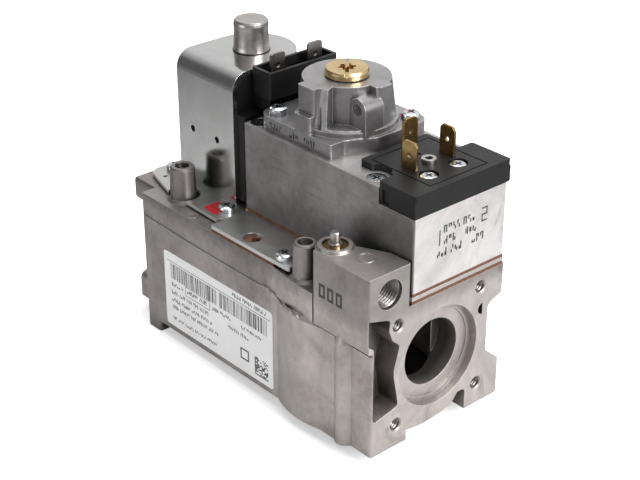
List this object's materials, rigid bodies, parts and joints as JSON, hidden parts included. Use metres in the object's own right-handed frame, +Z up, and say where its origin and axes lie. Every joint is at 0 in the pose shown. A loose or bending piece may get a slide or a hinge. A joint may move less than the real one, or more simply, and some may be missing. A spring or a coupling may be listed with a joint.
{
  "type": "gas valve",
  "caption": "Two-stage combination gas valve with flanged ports, a yoked solenoid coil, a servo regulator dome, a plug-in connector and test nipples.",
  "frame": {"origin": "centre of the outlet port on the outlet flange's face", "axes": "+X out of the outlet port, +Y away from the label side, +Z up through the servo block"},
  "size_m": [0.1332, 0.0648, 0.116],
  "materials": {
    "cast_body": "die cast, matt, with machined faces",
    "cast_servo": "die cast, fine grain",
    "cast_regulator": "die cast, satin",
    "zinc_plate": "bright zinc",
    "zinc_screw": "bright zinc",
    "satin_steel": "turned, satin",
    "blade_brass": "stamped, slightly tarnished",
    "cap_brass": "turned, bright",
    "black_plastic": "glass-filled, satin",
    "fibre_gasket": "brown fibre",
    "black_rubber": "moulded, matt",
    "copper_winding": "enamelled wire",
    "label_paper": "silver-white film",
    "spring_steel": "drawn wire"
  },
  "bodies": {
    "valve_body": {"main_body": "cast_body", "servo_housing": "cast_servo", "servo_lid": "cast_servo", "regulator_housing": "cast_regulator", "bottom_cover": "zinc_plate", "valve_plate": "zinc_plate", "base_plate": "zinc_plate", "coil_bracket": "zinc_plate", "cover_screws": "zinc_screw", "tongue_screw": "zinc_screw", "lid_screws": "zinc_screw", "connector_screws": "zinc_screw", "regulator_screws": "zinc_screw", "base_screws": "zinc_screw", "nose_cap": "satin_steel", "connector_nut": "satin_steel", "pilot_pin": "satin_steel", "coil_tabs": "satin_steel", "armature_tube": "satin_steel", "fixed_core": "satin_steel", "servo_core": "satin_steel", "inlet_strainer": "satin_steel", "connector_tabs": "blade_brass", "pilot_insert": "blade_brass", "coil_housing": "black_plastic", "connector_plate": "black_plastic", "coil_bobbin": "black_plastic", "servo_bobbin": "black_plastic", "lower_gasket": "fibre_gasket", "upper_gasket": "fibre_gasket", "base_seal": "black_rubber", "main_diaphragm": "black_rubber", "regulator_diaphragm": "black_rubber", "coil_winding": "copper_winding", "servo_winding": "copper_winding", "type_label": "label_paper", "main_valve_spring": "spring_steel", "return_spring": "spring_steel", "servo_spring": "spring_steel", "regulator_spring": "spring_steel"},
    "first_valve": {"plunger": "satin_steel", "first_valve_disc": "zinc_plate", "first_valve_seal": "black_rubber"},
    "main_valve": {"main_stem": "zinc_plate", "main_valve_disc": "zinc_plate", "main_valve_seal": "black_rubber"},
    "servo_armature": {"servo_plunger": "satin_steel", "servo_seal": "black_rubber"},
    "regulator_centre": {"regulator_plate": "zinc_plate"},
    "adjuster_seat": {"spring_seat": "zinc_plate"},
    "adjuster_screw": {"adjusting_screw": "zinc_screw"},
    "cap_ring": {"cap_seal": "black_rubber"},
    "cap": {"regulator_cap": "cap_brass"},
    "inlet_tap": {"inlet_tap_screw": "zinc_screw"},
    "outlet_tap": {"outlet_tap_screw": "zinc_screw"}
  },
  "joints": [
    {"name": "first_valve_slide", "type": "slide", "parent": "valve_body", "child": "first_valve", "axis": [0, 0, 1], "range_m": [0, 0.004], "stiffness_N_per_m": 400, "springref_m": -0.01, "deforming": ["return_spring"]},
    {"name": "main_valve_slide", "type": "slide", "parent": "valve_body", "child": "main_valve", "axis": [0, 0, 1], "range_m": [0, 0.003], "stiffness_N_per_m": 250, "springref_m": -0.012, "deforming": ["main_valve_spring", "main_diaphragm"]},
    {"name": "servo_armature_slide", "type": "slide", "parent": "valve_body", "child": "servo_armature", "axis": [0, 0, 1], "range_m": [0, 0.0012], "stiffness_N_per_m": 200, "springref_m": -0.004, "deforming": ["servo_spring"]},
    {"name": "regulator_slide", "type": "slide", "parent": "valve_body", "child": "regulator_centre", "axis": [0, 0, 1], "range_m": [0, 0.0008], "stiffness_N_per_m": 300, "springref_m": -0.003, "deforming": ["regulator_diaphragm"]},
    {"name": "spring_seat_slide", "type": "slide", "parent": "valve_body", "child": "adjuster_seat", "axis": [0, 0, 1], "range_m": [-0.0016, 0.0016], "deforming": ["regulator_spring"]},
    {"name": "adjusting_screw_turn", "type": "hinge", "parent": "adjuster_seat", "child": "adjuster_screw", "pos_m": [-0.0532, 0.0077, 0.079], "axis": [0, 0, 1], "range_deg": [-720, 720]},
    {"name": "cap_lift", "type": "slide", "parent": "valve_body", "child": "cap_ring", "axis": [0, 0, 1], "range_m": [0, 0.003]},
    {"name": "cap_turn", "type": "hinge", "parent": "cap_ring", "child": "cap", "pos_m": [-0.0532, 0.0077, 0.079], "axis": [0, 0, 1], "range_deg": [0, 1080]},
    {"name": "inlet_tap_turn", "type": "hinge", "parent": "valve_body", "child": "inlet_tap", "pos_m": [-0.1073, -0.0208, 0.0346], "axis": [0, 0, 1], "range_deg": [0, 720]},
    {"name": "outlet_tap_turn", "type": "hinge", "parent": "valve_body", "child": "outlet_tap", "pos_m": [-0.0356, -0.0257, 0.0346], "axis": [0, 0, 1], "range_deg": [0, 720]}
  ],
  "couplings": [
    {"joint": "adjusting_screw_turn", "follows": "spring_seat_slide", "rad_per_m": 7853.9},
    {"joint": "cap_turn", "follows": "cap_lift", "rad_per_m": 6283.1}
  ]
}
